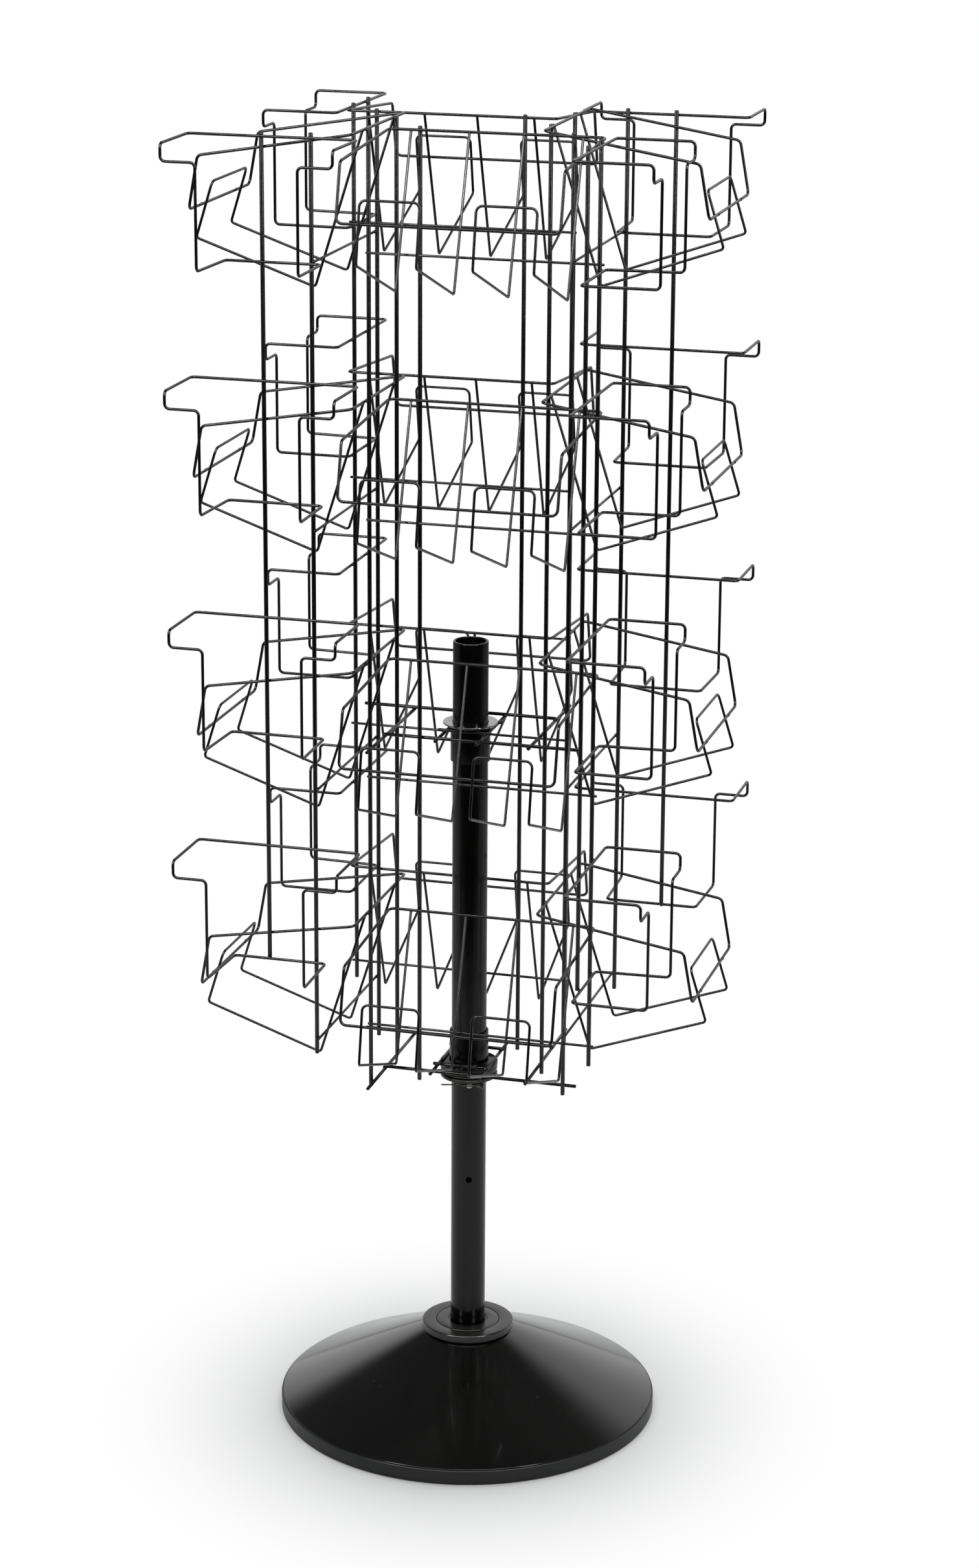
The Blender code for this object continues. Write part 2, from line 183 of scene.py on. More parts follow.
class Shape:
    """Points and faces gathered from several closed shells."""

    def __init__(self):
        self.points = []
        self.faces = []

    def rings(self, rings, closed=False, ends=()):
        """Joins equal rings of points into a skin. Each entry of ends is a tip that closes one end."""
        start = len(self.points)
        sides = len(rings[0])
        for ring in rings:
            self.points.extend(ring)
        count = len(rings)
        for i in range(count if closed else count - 1):
            a = start + i * sides
            b = start + ((i + 1) % count) * sides
            for k in range(sides):
                n = (k + 1) % sides
                self.faces.append((a + k, a + n, b + n, b + k))
        for ring, tip in zip((0, count - 1), ends):
            base = start + ring * sides
            self.points.append(tip)
            for k in range(sides):
                self.faces.append((base + (k + 1) % sides, base + k, len(self.points) - 1))

    def ball(self, centre, radii, turn=0.0, sides=10, bands=6):
        """A squashed ball, as a weld leaves where two wires cross."""
        centre = Vector(centre)
        spin = Matrix.Rotation(turn, 3, "Z")
        rings = []
        for i in range(1, bands):
            angle = math.pi * i / bands
            ring = []
            for k in range(sides):
                around = math.tau * k / sides
                local = Vector((
                    math.sin(angle) * math.cos(around) * radii[0],
                    math.sin(angle) * math.sin(around) * radii[1],
                    math.cos(angle) * radii[2],
                ))
                ring.append(centre + spin @ local)
            rings.append(ring)
        pole = Vector((0.0, 0.0, radii[2]))
        self.rings(rings, ends=(centre + pole, centre - pole))

    def spin(self, profile, steps):
        """A closed (radius, height) outline turned about +Z."""
        rings = []
        for k in range(steps):
            angle = math.tau * k / steps
            rings.append([Vector((r * math.cos(angle), r * math.sin(angle), z)) for r, z in profile])
        self.rings(rings, closed=True)

    def stack(self, profile, sides):
        """Level rings of these radii and heights, joined into a closed solid."""
        tips = [Vector((0.0, 0.0, profile[end][1])) for end in (0, -1)]
        self.rings([circle(radius, z, sides) for radius, z in profile], ends=tips)

    def wire(self, path, radius, sides=WIRE_SIDES, closed=False, dome=0.45):
        """A round wire along a path, with cut ends that the coating has rounded over."""
        points = [Vector(p) for p in path]
        frames = carried_frames(points, closed)
        rings = [ring_at(p, f, radius, sides) for p, f in zip(points, frames)]
        if closed:
            self.rings(rings, closed=True)
            return
        for at, sign in ((0, -1), (-1, 1)):
            along = frames[at][2] * sign
            collars = []
            for share in (0.35, 0.7, 0.92):
                narrow = radius * math.sqrt(1 - share * share)
                place = points[at] + along * radius * dome * share
                collars.append(ring_at(place, frames[at], narrow, sides))
            if at == 0:
                rings = collars[::-1] + rings
            else:
                rings = rings + collars
        tips = (
            points[0] - frames[0][2] * radius * dome,
            points[-1] + frames[-1][2] * radius * dome,
        )
        self.rings(rings, ends=tips)

    def mesh(self, name):
        mesh = bpy.data.meshes.new(name)
        mesh.from_pydata([tuple(p) for p in self.points], [], self.faces)
        work = bmesh.new()
        work.from_mesh(mesh)
        bmesh.ops.remove_doubles(work, verts=work.verts, dist=0.0000005)
        bmesh.ops.recalc_face_normals(work, faces=work.faces)
        work.to_mesh(mesh)
        work.free()
        mesh.shade_smooth()
        mesh.set_sharp_from_angle(angle=SHARP_ANGLE)
        return mesh


def circle(radius, z, sides):
    """A level ring of points round the pole's axis."""
    angles = [math.tau * k / sides for k in range(sides)]
    return [Vector((radius * math.cos(a), radius * math.sin(a), z)) for a in angles]


def ring_at(point, carried, radius, sides):
    side, up, _ = carried
    ring = []
    for k in range(sides):
        angle = math.tau * k / sides
        ring.append(point + side * (radius * math.cos(angle)) + up * (radius * math.sin(angle)))
    return ring


def carried_frames(points, closed):
    """A (side, up, along) frame at each point, carried along the path without twist."""
    count = len(points)
    tangents = []
    for i in range(count):
        behind = points[i] - points[i - 1]
        ahead = points[(i + 1) % count] - points[i]
        if not closed and i == count - 1:
            ahead = behind
        if not closed and i == 0:
            behind = ahead
        tangents.append((ahead.normalized() + behind.normalized()).normalized())
    side = tangents[0].orthogonal().normalized()
    frames = []
    for i, along in enumerate(tangents):
        if i:
            side = tangents[i - 1].rotation_difference(along) @ side
        side = (side - along * side.dot(along)).normalized()
        frames.append((side, along.cross(side), along))
    if closed:
        undo_twist(frames, tangents)
    return frames


def undo_twist(frames, tangents):
    """Spreads what a closed path's frame has turned by over the whole path, so that its ends meet."""
    last = tangents[-1].rotation_difference(tangents[0]) @ frames[-1][0]
    first_side, first_up, _ = frames[0]
    twist = math.atan2(last.dot(first_up), last.dot(first_side))
    count = len(frames)
    for i in range(count):
        side, up, along = frames[i]
        turn = Matrix.Rotation(-twist * i / count, 3, along)
        frames[i] = (turn @ side, turn @ up, along)


def bent(corners, radii, closed=False, steps=BEND_STEPS):
    """The path through these corners, each turned as an arc. radii is one number or one per corner."""
    points = [Vector(c) for c in corners]
    count = len(points)
    if not isinstance(radii, (list, tuple)):
        radii = [radii] * count
    path = []
    for i, corner in enumerate(points):
        if not closed and i in (0, count - 1):
            path.append(corner)
            continue
        back = points[i - 1] - corner
        ahead = points[(i + 1) % count] - corner
        half = back.angle(ahead) / 2
        reach = min(radii[i] / math.tan(half), 0.45 * back.length, 0.45 * ahead.length)
        middle = (back.normalized() + ahead.normalized()).normalized()
        centre = corner + middle * (reach / math.cos(half))
        spoke = reach * math.tan(half)
        start = corner + back.normalized() * reach - centre
        end = corner + ahead.normalized() * reach - centre
        for k in range(steps + 1):
            path.append(centre + start.slerp(end, k / steps).normalized() * spoke)
    return path


def softened(outline, radii, steps=5):
    """A closed (radius, height) outline with its corners rounded."""
    corners = [(r, 0.0, z) for r, z in outline]
    return [(p.x, p.z) for p in bent(corners, radii, closed=True, steps=steps)]


# --- Materials -----------------------------------------------------------------------------------------


class Nodes:
    """A short way to wire a material's nodes."""

    def __init__(self, name):
        self.material = bpy.data.materials.new(name)
        self.material.use_nodes = True
        self.tree = self.material.node_tree
        self.shader = self.tree.nodes["Principled BSDF"]
        self.place = self.add("ShaderNodeTexCoord").outputs["Object"]

    def add(self, kind, **settings):
        node = self.tree.nodes.new(kind)
        for key, value in settings.items():
            setattr(node, key, value)
        return node

    def link(self, output, socket):
        self.tree.links.new(output, socket)

    def stretched(self, scale):
        mapping = self.add("ShaderNodeMapping")
        mapping.inputs["Scale"].default_value = scale
        self.link(self.place, mapping.inputs["Vector"])
        return mapping.outputs["Vector"]

    def noise(self, scale, detail=3.0, rough=0.5, vector=None):
        node = self.add("ShaderNodeTexNoise")
        node.inputs["Scale"].default_value = scale
        node.inputs["Detail"].default_value = detail
        node.inputs["Roughness"].default_value = rough
        self.link(vector or self.place, node.inputs["Vector"])
        return node.outputs["Fac"]

    def ramp(self, value, low, high, start=0.3, end=0.7):
        """value from start to end, mapped onto low to high and held there outside."""
        node = self.add("ShaderNodeMapRange")
        node.inputs["From Min"].default_value = start
        node.inputs["From Max"].default_value = end
        node.inputs["To Min"].default_value = low
        node.inputs["To Max"].default_value = high
        self.link(value, node.inputs["Value"])
        return node.outputs["Result"]

    def mix(self, value, first, second):
        """Two colours mixed by value. Each is a triple or another node's colour."""
        node = self.add("ShaderNodeMix", data_type="RGBA")
        self.link(value, node.inputs["Factor"])
        for index, colour in ((6, first), (7, second)):
            if isinstance(colour, tuple):
                node.inputs[index].default_value = (*colour, 1.0)
            else:
                self.link(colour, node.inputs[index])
        return node.outputs[2]

    def combine(self, first, second, operation="ADD"):
        node = self.add("ShaderNodeMath", operation=operation)
        for socket, value in zip(node.inputs, (first, second)):
            if isinstance(value, float):
                socket.default_value = value
            else:
                self.link(value, socket)
        return node.outputs[0]

    def bump(self, height, strength, distance):
        node = self.add("ShaderNodeBump")
        node.inputs["Strength"].default_value = strength
        node.inputs["Distance"].default_value = distance
        self.link(height, node.inputs["Height"])
        self.link(node.outputs["Normal"], self.shader.inputs["Normal"])

    def paint(self, value, first, second):
        """The base colour, from first to second as value goes through the middle of its range."""
        self.set("Base Color", self.mix(self.ramp(value, 0.0, 1.0), first, second))

    def set(self, name, value):
        socket = self.shader.inputs[name]
        if isinstance(value, (int, float)):
            socket.default_value = value
        else:
            self.link(value, socket)


def coated_wire():
    """Black dip coating on steel wire: glossy, with a soft orange peel and duller patches."""
    n = Nodes("coated_wire")
    patches = n.noise(34.0, 4.0, 0.6)
    peel = n.noise(160.0, 2.0)
    grain = n.noise(1800.0, 2.0)
    n.paint(patches, (0.0030, 0.0030, 0.0032), (0.0070, 0.0070, 0.0068))
    n.set("Roughness", n.combine(n.ramp(patches, 0.19, 0.27), n.ramp(grain, 0.0, 0.03)))
    n.set("Specular IOR Level", 0.45)
    n.bump(peel, 0.12, 0.00006)
    return n.material


def pole_enamel():
    """Satin black enamel on drawn tube, with faint draw lines along it."""
    n = Nodes("pole_enamel")
    lines = n.noise(1.0, 3.0, 0.6, n.stretched((420.0, 420.0, 3.0)))
    clouds = n.noise(9.0, 4.0, 0.55)
    peel = n.noise(420.0, 2.0)
    n.paint(clouds, (0.0030, 0.0030, 0.0027), (0.0060, 0.0060, 0.0054))
    n.set("Roughness", n.combine(n.ramp(lines, 0.13, 0.18), n.ramp(clouds, 0.0, 0.04)))
    n.set("Specular IOR Level", 0.34)
    n.bump(n.combine(peel, n.combine(lines, 0.4, "MULTIPLY")), 0.22, 0.00006)
    return n.material


def gloss_enamel():
    """Mirror-gloss black on the spun cover, with fine polishing marks and a few specks of dust."""
    n = Nodes("gloss_enamel")
    clouds = n.noise(7.0, 4.0, 0.6)
    peel = n.noise(150.0, 2.0)
    scratch = n.noise(1.0, 5.0, 0.7, n.stretched((60.0, 900.0, 60.0)))
    specks = n.add("ShaderNodeTexVoronoi")
    specks.inputs["Scale"].default_value = 70.0
    n.link(n.place, specks.inputs["Vector"])
    dots = n.ramp(specks.outputs["Distance"], 1.0, 0.0, 0.03, 0.055)
    rare = n.ramp(n.noise(11.0, 1.0), 0.0, 1.0, 0.60, 0.64)
    dust = n.combine(dots, rare, "MULTIPLY")
    paint = n.mix(n.ramp(clouds, 0.0, 1.0), (0.0034, 0.0034, 0.0030), (0.0060, 0.0060, 0.0054))
    n.set("Base Color", n.mix(dust, paint, (0.10, 0.10, 0.095)))
    rough = n.combine(n.ramp(clouds, 0.10, 0.15), n.ramp(scratch, 0.0, 0.035, 0.55, 0.75))
    n.set("Roughness", n.combine(rough, n.combine(dust, 0.4, "MULTIPLY")))
    n.set("Coat Weight", 0.30)
    n.set("Coat Roughness", 0.05)
    n.bump(peel, 0.10, 0.00005)
    return n.material


def satin_black(name, light, dark, low, high, specular):
    """Fine-textured satin black, as on moulded and powder-coated parts."""
    n = Nodes(name)
    clouds = n.noise(15.0, 4.0, 0.6)
    grain = n.noise(1500.0, 3.0)
    n.paint(clouds, dark, light)
    n.set("Roughness", n.combine(n.ramp(clouds, low, high), n.ramp(grain, 0.0, 0.06)))
    n.set("Specular IOR Level", specular)
    n.bump(grain, 0.18, 0.00008)
    return n.material


def zinc_plate():
    """Bright zinc on steel: pale, with a fine mottle and faint rub marks."""
    n = Nodes("zinc_plate")
    mottle = n.add("ShaderNodeTexVoronoi")
    mottle.inputs["Scale"].default_value = 520.0
    n.link(n.place, mottle.inputs["Vector"])
    clouds = n.noise(60.0, 4.0, 0.6)
    tone = n.combine(n.ramp(clouds, 0.0, 0.7), n.combine(mottle.outputs["Distance"], 0.4, "MULTIPLY"))
    n.set("Base Color", n.mix(tone, (0.36, 0.36, 0.35), (0.62, 0.62, 0.60)))
    n.set("Metallic", 0.85)
    n.set("Roughness", n.ramp(clouds, 0.34, 0.48))
    n.bump(mottle.outputs["Distance"], 0.12, 0.00005)
    return n.material


def polished_plate():
    """The hub's disc: polished zinc with a cloudy mottle, which mirrors the black pole."""
    n = Nodes("polished_plate")
    clouds = n.noise(90.0, 4.0, 0.65)
    fine = n.noise(700.0, 3.0)
    n.paint(clouds, (0.23, 0.23, 0.225), (0.42, 0.42, 0.41))
    n.set("Metallic", 1.0)
    n.set("Roughness", n.combine(n.ramp(clouds, 0.05, 0.14), n.ramp(fine, 0.0, 0.05)))
    n.bump(clouds, 0.03, 0.0001)
    return n.material


def oiled_steel():
    """Dark, lightly oiled bearing steel with turning lines."""
    n = Nodes("oiled_steel")
    lines = n.noise(1.0, 3.0, 0.5, n.stretched((40.0, 40.0, 2200.0)))
    clouds = n.noise(70.0, 4.0, 0.6)
    n.paint(clouds, (0.030, 0.029, 0.027), (0.085, 0.083, 0.078))
    n.set("Metallic", 0.8)
    n.set("Roughness", n.combine(n.ramp(clouds, 0.24, 0.40), n.ramp(lines, 0.0, 0.06)))
    n.bump(lines, 0.15, 0.00005)
    return n.material


BAND_TONES = (0.024, 0.026, 0.0245), (0.016, 0.0175, 0.0165)
COLLAR_TONES = (0.026, 0.026, 0.024), (0.018, 0.018, 0.0165)
HUB_TONES = (0.0045, 0.0045, 0.0041), (0.0025, 0.0025, 0.0023)

WIRE = coated_wire()
POLE = pole_enamel()
GLOSS = gloss_enamel()
BAND = satin_black("band_black", *BAND_TONES, 0.30, 0.42, 0.36)
COLLAR = satin_black("collar_black", *COLLAR_TONES, 0.15, 0.21, 0.62)
HUB = satin_black("hub_black", *HUB_TONES, 0.10, 0.16, 0.28)
ZINC = zinc_plate()
PLATE = polished_plate()
STEEL = oiled_steel()


# --- Pieces --------------------------------------------------------------------------------------------


def add_piece(name, mesh, material, body, node, turn=0.0, height=0.0):
    """A visual piece that stands for one CAD node and rides on its body."""
    if not mesh.materials:
        mesh.materials.append(material)
    obj = bpy.data.objects.new(name, mesh)
    bpy.context.scene.collection.objects.link(obj)
    obj.matrix_world = Matrix.Translation((0.0, 0.0, height)) @ Matrix.Rotation(math.radians(turn), 4, "Z")
    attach(obj, body)
    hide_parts(node)


def add_turned(name, outline, radii, fine, steps, material, body, node):
    """A piece turned about the pole's axis from an outline with rounded corners."""
    shape = Shape()
    shape.spin(softened(outline, radii, fine), steps)
    add_piece(name, shape.mesh(name), material, body, node)


def basket_shape(spec):
    """A basket's closed loop and pocket wires, with a weld wherever they meet or touch an upright."""
    shape = Shape()
    left = spec["centre"] - spec["width"] / 2
    right = spec["centre"] + spec["width"] / 2
    back = -spec["plane"]
    elbow = back - spec["arm"]
    front = elbow - spec["lean"]
    rise = spec["side_rise"]
    elbow_z = rise - spec["arm_drop"]
    front_z = elbow_z - spec["side_drop"]
    corners = [
        (left, back, rise),
        (left, elbow, elbow_z),
        (left, front, front_z),
        (right, front, front_z),
        (right, elbow, elbow_z),
        (right, back, rise),
    ]
    shape.wire(bent(corners, BEND, closed=True), LOOP_R, closed=True)
    for offset in spec["pockets"]:
        add_pocket(shape, spec, spec["centre"] + offset, front, front_z)
    for place in (spec["near"], spec["far"]):
        shape.ball((place, back + CROSSING_OFFSET, rise), ROD_WELD)
    return shape


def add_pocket(shape, spec, middle, front, front_z):
    half = spec["pocket_width"] / 2
    back = -spec["plane"]
    rise = spec["side_rise"]
    outline = [(0.0, 0.0), spec["tip"], spec["nose"], spec["crest"]]
    left = [(middle - half, back - reach, z + rise) for reach, z in outline]
    right = [(middle + half, back - reach, z + rise) for reach, z in reversed(outline)]
    radii = [BEND, TIGHT_BEND, TIGHT_BEND, BEND, BEND, TIGHT_BEND, TIGHT_BEND, BEND]
    shape.wire(bent(left + right, radii), POCKET_R)
    for x in (middle - half, middle + half):
        shape.ball((x, back - 0.0003, rise - 0.0006), POCKET_WELD)
        shape.ball((x, front - 0.0004, front_z), FRONT_WELD)


def build_baskets():
    meshes = {}
    for label, spec in (("wide", WIDE), ("narrow", NARROW)):
        meshes[label] = basket_shape(spec).mesh(f"{label}_basket_wires")
    for side, turn in SIDES.items():
        mesh = meshes["wide" if side in WIDE_SIDES else "narrow"]
        for tier in range(TIERS):
            node = f"{side}_basket_{tier + 1}"
            height = BASKET_TOP - tier * BASKET_PITCH
            add_piece(f"{node}_wires", mesh, WIRE, "cage", node, turn, height)


def upright_plane(spec):
    return spec["plane"] - UPRIGHT_INSET


def post_plane(spec):
    return spec["centre"] + spec["width"] / 2 + UPRIGHT_INSET


def wing_mesh(plane, centre, posts):
    """A wing's closed stepped loop, with welds where its bars cross the posts."""
    shape = Shape()
    inner = -(centre - WING["width"] / 2)
    outer = -(centre + WING["width"] / 2)
    front = -(plane + WING["depth"])
    lip = -WING["lip"]
    low = lip - WING["drop"]
    corners = [
        (outer, -plane, 0.0),
        (outer, front, 0.0),
        (outer, front, lip),
        (outer + WING["step"], front, lip),
        (outer + WING["step"], front, low),
        (outer + WING["foot"], -plane, WING["foot_z"]),
        (inner - WING["foot"], -plane, WING["foot_z"]),
        (inner - WING["step"], front, low),
        (inner - WING["step"], front, lip),
        (inner, front, lip),
        (inner, front, 0.0),
        (inner, -plane, 0.0),
    ]
    shape.wire(bent(corners, BEND * 0.8, closed=True), LOOP_R, closed=True)
    for place in posts:
        for z in (0.0, WING["foot_z"]):
            shape.ball((-place, -plane + CROSSING_OFFSET, z), ROD_WELD)
    return shape.mesh("wing_loop_wire")


def build_wings():
    """Each side's wings stand in the plane where the neighbouring side's baskets end."""
    meshes = {}
    for wide in (True, False):
        spec, across = (WIDE, NARROW) if wide else (NARROW, WIDE)
        wing = WIDE_WING if wide else SIDE_WING
        plane = post_plane(across) + UPRIGHT_INSET
        inner = spec["far"] + 2 * STRUT_OFFSET
        meshes[wide] = wing_mesh(plane, wing["centre"], (wing["outer"], inner))
    for side, turn in SIDES.items():
        for tier in range(TIERS):
            node = f"{side}_wing_loop_{tier + 1}"
            height = WING_TOP - tier * WING_PITCH
            mesh = meshes[side in WIDE_SIDES]
            add_piece(f"{node}_wire", mesh, WIRE, "cage", node, turn, height)


def rod(shape, x, y, bottom, top):
    shape.wire([(x, y, bottom + ROD_END), (x, y, top - ROD_END)], UPRIGHT_R, ROD_SIDES)


def ladder_shape(spec, across, inner_bottom, core_bottom, top):
    """A core upright, a wing's inner post and the struts welded between them."""
    shape = Shape()
    core_x = -upright_plane(across)
    wing_x = post_plane(spec)
    core_y = -across["far"]
    strut_y = core_y - STRUT_OFFSET
    wing_y = strut_y - STRUT_OFFSET
    rod(shape, core_x, core_y, core_bottom, top)
    rod(shape, wing_x, wing_y, inner_bottom, top)
    for tier in range(TIERS):
        z = BASKET_TOP - tier * BASKET_PITCH - spec["strut_drop"]
        ends = (core_x - STRUT_CORE_END, wing_x + STRUT_WING_END)
        shape.wire([(x, strut_y, z) for x in ends], STRUT_R)
        shape.ball((core_x, strut_y + 0.0008, z), ROD_WELD)
        shape.ball((wing_x, strut_y - 0.0008, z), ROD_WELD)
    return shape


def add_rod(node, x, y, bottom, top, turn):
    shape = Shape()
    rod(shape, x, y, bottom, top)
    name = f"{node}_rod"
    add_piece(name, shape.mesh(name), WIRE, "cage", node, turn)


def build_frame():
    """On each side a ladder, the nearer core upright and the wing's outer post."""
    for side, turn in SIDES.items():
        wide = side in WIDE_SIDES
        spec, across = (WIDE, NARROW) if wide else (NARROW, WIDE)
        wing = WIDE_WING if wide else SIDE_WING
        low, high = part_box(f"{side}_upright")
        post_low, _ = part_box(f"{side}_wing_post")
        ladder = ladder_shape(spec, across, low.z + INNER_POST_LIFT, low.z, high.z)
        name = f"{side}_ladder_rods"
        add_piece(name, ladder.mesh(name), WIRE, "cage", f"{side}_ladder", turn)
        add_rod(f"{side}_upright", spec["near"], -upright_plane(spec), low.z, high.z, turn)
        add_rod(f"{side}_wing_post", -wing["outer"], -post_plane(across), post_low.z, high.z, turn)


def add_tie_grid(shape, hub):
    """The tie rods to the uprights and the short wires that box the sleeve in, with their welds."""
    front = WIDE["plane"] - UPRIGHT_INSET - TIE_INSET
    side = NARROW["plane"] - UPRIGHT_INSET - TIE_INSET
    high_z = hub["tie_z"]
    low_z = high_z - TIE_STEP
    middle = (high_z + low_z) / 2
    half = hub["short_half"]
    for sign in (1, -1):
        long_tie = [(sign * reach, -sign * front, high_z) for reach in LONG_TIE]
        side_tie = [(-sign * side, -sign * reach, low_z) for reach in SIDE_TIE]
        cross = [(sign * hub["cross"], reach, low_z) for reach in (-CROSS_HALF, CROSS_HALF)]
        short = [(reach, sign * hub["short"], high_z) for reach in (-half, half)]
        for path in (long_tie, side_tie, cross, short):
            shape.wire(path, TIE_R, ROD_SIDES)
        for x in (-side, side):
            shape.ball((x, sign * front, middle), TIE_WELD)
        for x in (-hub["cross"], hub["cross"]):
            shape.ball((x, sign * front, middle), CROSS_WELD)
            shape.ball((x, sign * hub["short"], middle), CROSS_WELD)


def add_sleeve(shape, hub):
    """The sleeve on the pole and, on the lower hub, the flange that rests on the bearing."""
    bottom, top = hub["bottom"], hub["top"]
    outline = [(SLEEVE_BORE, top), (SLEEVE_R, top), (SLEEVE_R, bottom), (SLEEVE_BORE, bottom)]
    radii = [0.0006] * 4
    if "flange_r" in hub:
        wide = hub["flange_r"]
        ledge = bottom + hub["flange_height"]
        outline[2:3] = [(SLEEVE_R, ledge), (wide, ledge), (wide, bottom)]
        radii[2:3] = [0.0016, 0.0012, 0.0012]
    shape.spin(softened(outline, radii), 96)


def build_hubs():
    for node, hub in (("upper_hub", UPPER_HUB), ("lower_hub", LOWER_HUB)):
        shape = Shape()
        add_tie_grid(shape, hub)
        add_sleeve(shape, hub)
        name = f"{node}_frame"
        add_piece(name, shape.mesh(name), HUB, "cage", node)
    add_ring("hub_disc", "hub_disc_plate", SLEEVE_BORE, DISC_R, 0.0005, 96, PLATE, "cage")
    add_race("bearing_upper_race", "upper_race_ring", "cage")


def add_ring(node, name, bore, radius, edge, steps, material, body):
    """A flat ring, as high as its CAD node."""
    low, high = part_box(node)
    outline = [(bore, high.z), (radius, high.z), (radius, low.z), (bore, low.z)]
    add_turned(name, outline, edge, 5, steps, material, body, node)


def add_race(node, name, body):
    add_ring(node, name, RACE_BORE, RACE_R, 0.0010, 96, STEEL, body)


def drill(centre, along, half, radius, sides):
    """A round cutter through centre."""
    shape = Shape()
    shape.wire([centre - along * half, centre + along * half], radius, sides)
    return shape


def bored(shape, drills, name):
    """The shape's mesh with round holes bored through it."""
    obj = bpy.data.objects.new(name, shape.mesh(name))
    bpy.context.scene.collection.objects.link(obj)
    tools = []
    for i, cutter in enumerate(drills):
        tool = bpy.data.objects.new(f"{name}_tool_{i}", cutter.mesh(f"{name}_tool_{i}"))
        bpy.context.scene.collection.objects.link(tool)
        tools.append(tool)
        boolean = obj.modifiers.new(f"hole_{i}", "BOOLEAN")
        boolean.operation = "DIFFERENCE"
        boolean.solver = "EXACT"
        boolean.object = tool
    bpy.context.view_layer.update()
    made = bpy.data.meshes.new_from_object(obj.evaluated_get(bpy.context.evaluated_depsgraph_get()))
    for other in [obj, *tools]:
        bpy.data.objects.remove(other, do_unlink=True)
    made.shade_smooth()
    made.set_sharp_from_angle(angle=SHARP_ANGLE)
    return made


def pin_axes():
    along = Vector((math.sin(PIN_AZIMUTH), -math.cos(PIN_AZIMUTH), 0.0))
    across = Vector((math.cos(PIN_AZIMUTH), math.sin(PIN_AZIMUTH), 0.0))
    return along, across


def build_pole():
    """The tube, open at the top and bored through for the pin at both of its places."""
    low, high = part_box("pole")
    outline = [(POLE_BORE, high.z), (POLE_R, high.z), (POLE_R, low.z), (POLE_BORE, low.z)]
    shape = Shape()
    shape.spin(softened(outline, 0.0011, 6), 160)
    along, _ = pin_axes()
    drills = [drill(Vector((0.0, 0.0, z)), along, 0.04, PIN_HOLE_R, 32) for z in (PIN_Z, SPARE_HOLE_Z)]
    mesh = bored(shape, drills, "pole_tube")
    add_piece("pole_tube", mesh, POLE, "stand", "pole")
    add_ring("pole_plug", "pole_foot_plug", 0.0060, 0.0213, 0.0008, 64, ZINC, "stand")


def build_bolt():
    """A hexagon bolt: bevelled head, shank with rolled thread rings."""
    low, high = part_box("base_bolt")
    head = low.z + 0.0049
    shape = Shape()
    shape.stack([(0.0092, low.z), (0.0109, low.z + 0.0008), (0.0109, head - 0.0004), (0.0104, head)], 6)
    shank = [(0.0055, head - 0.0005), (0.0055, 0.0150)]
    z = 0.0155
    while z < high.z - THREAD_PITCH:
        shank.extend([(0.0056, z), (0.0049, z + THREAD_PITCH / 2)])
        z += THREAD_PITCH
    shank.append((0.0046, high.z))
    shape.stack(shank, 32)
    add_piece("base_bolt_hex", shape.mesh("base_bolt_hex"), ZINC, "stand", "base_bolt")


def build_pin():
    """The pin through the pole, bored near its front end for the clip."""
    along, across = pin_axes()
    centre = Vector((0.0, 0.0, PIN_Z))
    front = centre + along * CLIP_REACH
    shape = Shape()
    shape.wire([centre - along * PIN_HALF, centre + along * PIN_HALF], PIN_R, 32, dome=0.36)
    mesh = bored(shape, [drill(front, across, 0.01, CLIP_HOLE_R, 20)], "support_pin_rod")
    add_piece("support_pin_rod", mesh, ZINC, "stand", "support_pin")
    build_clip(front, along, across)


def build_clip(start, along, across):
    """A hairpin clip: a straight leg through the pin, a coil, and a leg bowed round the pin's end."""
    path = [start - across * 0.0400, start + across * 0.0120]
    coil = start + across * 0.0145 + along * CLIP_COIL_R
    for k in range(CLIP_COIL_STEPS + 1):
        angle = -math.pi / 2 + math.tau * CLIP_TURNS * k / CLIP_COIL_STEPS
        lift = (k / CLIP_COIL_STEPS - 0.5) * CLIP_COIL_RISE
        reach = (CLIP_COIL_R * math.cos(angle), CLIP_COIL_R * math.sin(angle))
        path.append(coil + across * reach[0] + along * reach[1] + Vector((0, 0, lift)))
    tail = [(0.0040, 0.0118), (-0.0080, 0.0105), (-0.0140, 0.0045), (-0.0200, 0.0070)]
    top = Vector((0.0, 0.0, CLIP_COIL_RISE / 2))
    ends = [start + across * side + along * reach + top for side, reach in tail]
    lead = bent([path[-1] + (ends[0] - path[-1]) * 0.001, *ends], 0.005, steps=5)
    shape = Shape()
    shape.wire(path + lead[1:], CLIP_R, 10)
    name = "retaining_clip_wire"
    add_piece(name, shape.mesh(name), STEEL, "stand", "retaining_clip")


def build_bearing():
    """The lower race, and the balls with the thin ring that spaces them."""
    add_race("bearing_lower_race", "lower_race_ring", "stand")
    low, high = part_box("bearing_ball_ring")
    middle = (low.z + high.z) / 2
    top = middle + 0.0012
    bottom = middle - 0.0012
    shape = Shape()
    shape.spin(softened([(0.0290, top), (0.0385, top), (0.0385, bottom), (0.0290, bottom)], 0.0004), 96)
    radius = (high.z - low.z) / 2
    for place in circle(BALL_CIRCLE, middle, BALLS):
        shape.ball(place, (radius, radius, radius), sides=16, bands=10)
    name = "bearing_ball_set"
    add_piece(name, shape.mesh(name), STEEL, "stand", "bearing_ball_ring")


